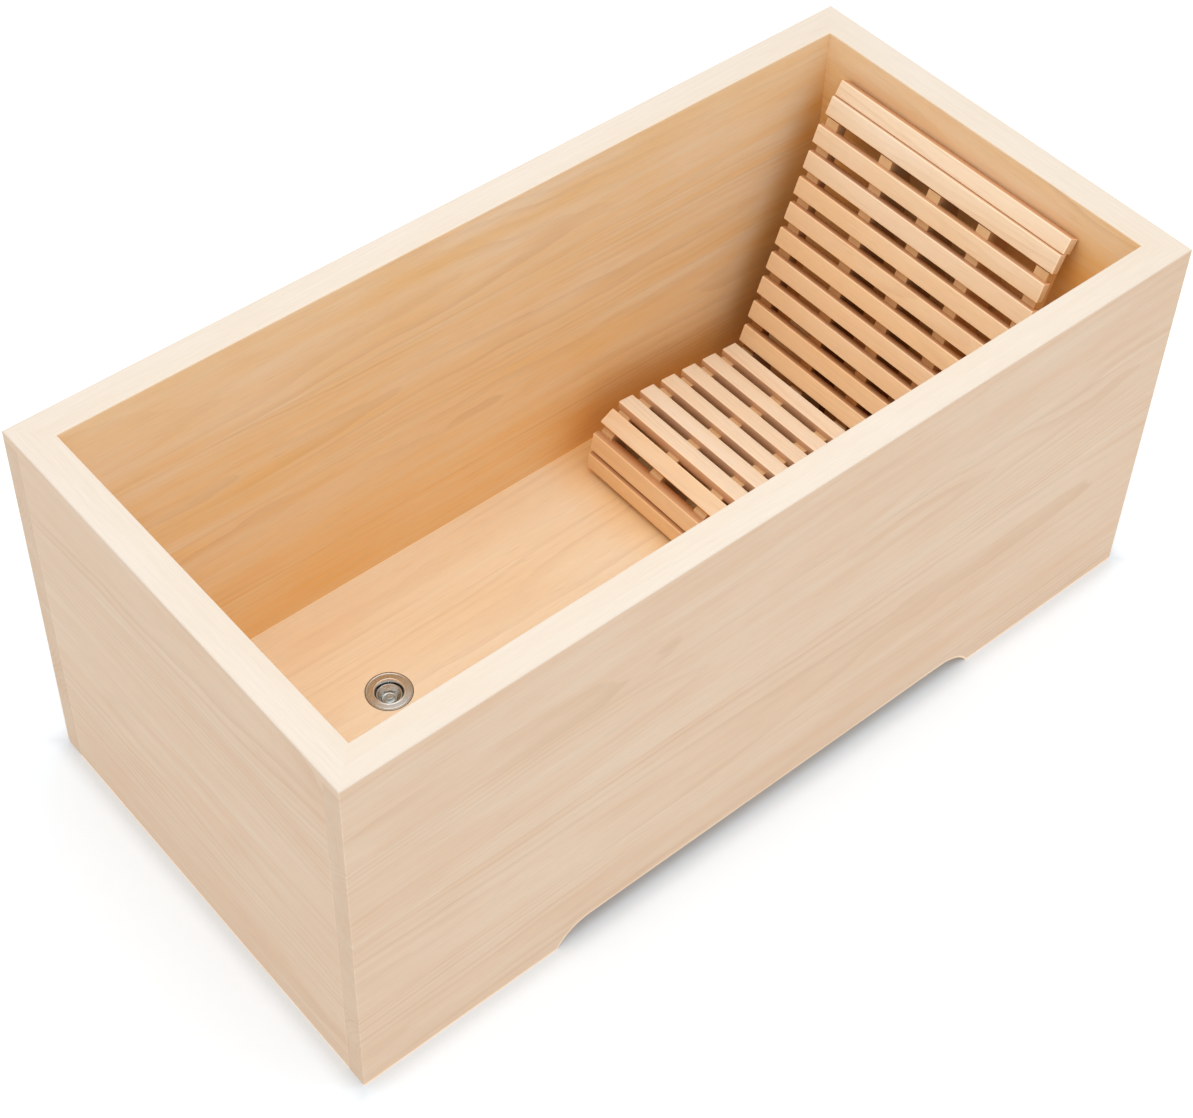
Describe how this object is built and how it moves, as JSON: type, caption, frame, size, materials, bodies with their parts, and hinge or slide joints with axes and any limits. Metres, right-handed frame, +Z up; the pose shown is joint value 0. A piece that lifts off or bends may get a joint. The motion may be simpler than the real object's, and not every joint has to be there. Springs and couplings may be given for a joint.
{
  "type": "japanese soaking tub",
  "caption": "Rectangular wooden soaking tub with a mitred rim, arched feet, a plugged waste in its floor and a slatted lounge that lifts out.",
  "frame": {"origin": "middle of the ground that the tub stands on, under the middle of its outside length and width", "axes": "+X along the tub towards the lounge, +Y to the far long wall, +Z up"},
  "size_m": [1.515, 0.75, 0.675],
  "materials": {
    "wall_wood": "pale oiled hinoki, satin, with a fine straight grain",
    "floor_wood": "honey hinoki boards, satin",
    "slat_wood": "planed hinoki slats with eased edges, satin",
    "rib_wood": "plain hinoki, satin",
    "dowel_wood": "plain hardwood dowel",
    "stainless": "brushed stainless steel, soft shine",
    "knob_steel": "turned stainless steel, soft shine",
    "seal_rubber": "black rubber"
  },
  "bodies": {
    "tub": {"near_wall_board_1": "wall_wood", "near_wall_board_2": "wall_wood", "near_wall_board_3": "wall_wood", "near_wall_board_4": "wall_wood", "far_wall_board_1": "wall_wood", "far_wall_board_2": "wall_wood", "far_wall_board_3": "wall_wood", "far_wall_board_4": "wall_wood", "head_wall_board_1": "wall_wood", "head_wall_board_2": "wall_wood", "head_wall_board_3": "wall_wood", "head_wall_board_4": "wall_wood", "foot_wall_board_1": "wall_wood", "foot_wall_board_2": "wall_wood", "foot_wall_board_3": "wall_wood", "foot_wall_board_4": "wall_wood", "floor_board_1": "floor_wood", "floor_board_2": "floor_wood", "floor_board_3": "floor_wood", "floor_board_4": "floor_wood", "floor_board_5": "floor_wood", "corner_dowels": "dowel_wood", "floor_bearers": "rib_wood", "bearer_screws": "stainless", "waste_body": "stainless", "waste_seal": "seal_rubber", "waste_washer": "seal_rubber", "waste_locknut": "stainless"},
    "lounge": {"front_slat_1": "slat_wood", "front_slat_2": "slat_wood", "nose_slat": "slat_wood", "seat_slat_1": "slat_wood", "seat_slat_2": "slat_wood", "seat_slat_3": "slat_wood", "seat_slat_4": "slat_wood", "seat_slat_5": "slat_wood", "seat_slat_6": "slat_wood", "back_slat_1": "slat_wood", "back_slat_2": "slat_wood", "back_slat_3": "slat_wood", "back_slat_4": "slat_wood", "back_slat_5": "slat_wood", "back_slat_6": "slat_wood", "back_slat_7": "slat_wood", "back_slat_8": "slat_wood", "back_slat_9": "slat_wood", "back_slat_10": "slat_wood", "cap_slat": "slat_wood", "seat_rib_1": "rib_wood", "seat_rib_2": "rib_wood", "seat_rib_3": "rib_wood", "outer_seat_ribs": "rib_wood", "back_rib_1": "rib_wood", "back_rib_2": "rib_wood", "back_rib_3": "rib_wood", "outer_back_ribs": "rib_wood", "lounge_dowels": "dowel_wood"},
    "plug": {"plug_cup": "stainless", "plug_ring": "seal_rubber", "plug_knob": "knob_steel"}
  },
  "joints": [
    {"name": "lounge_lift", "type": "slide", "parent": "tub", "child": "lounge", "axis": [0, 0, 1], "range_m": [0, 0.63]},
    {"name": "plug_lift", "type": "slide", "parent": "tub", "child": "plug", "axis": [0, 0, 1], "range_m": [0, 0.045]}
  ]
}
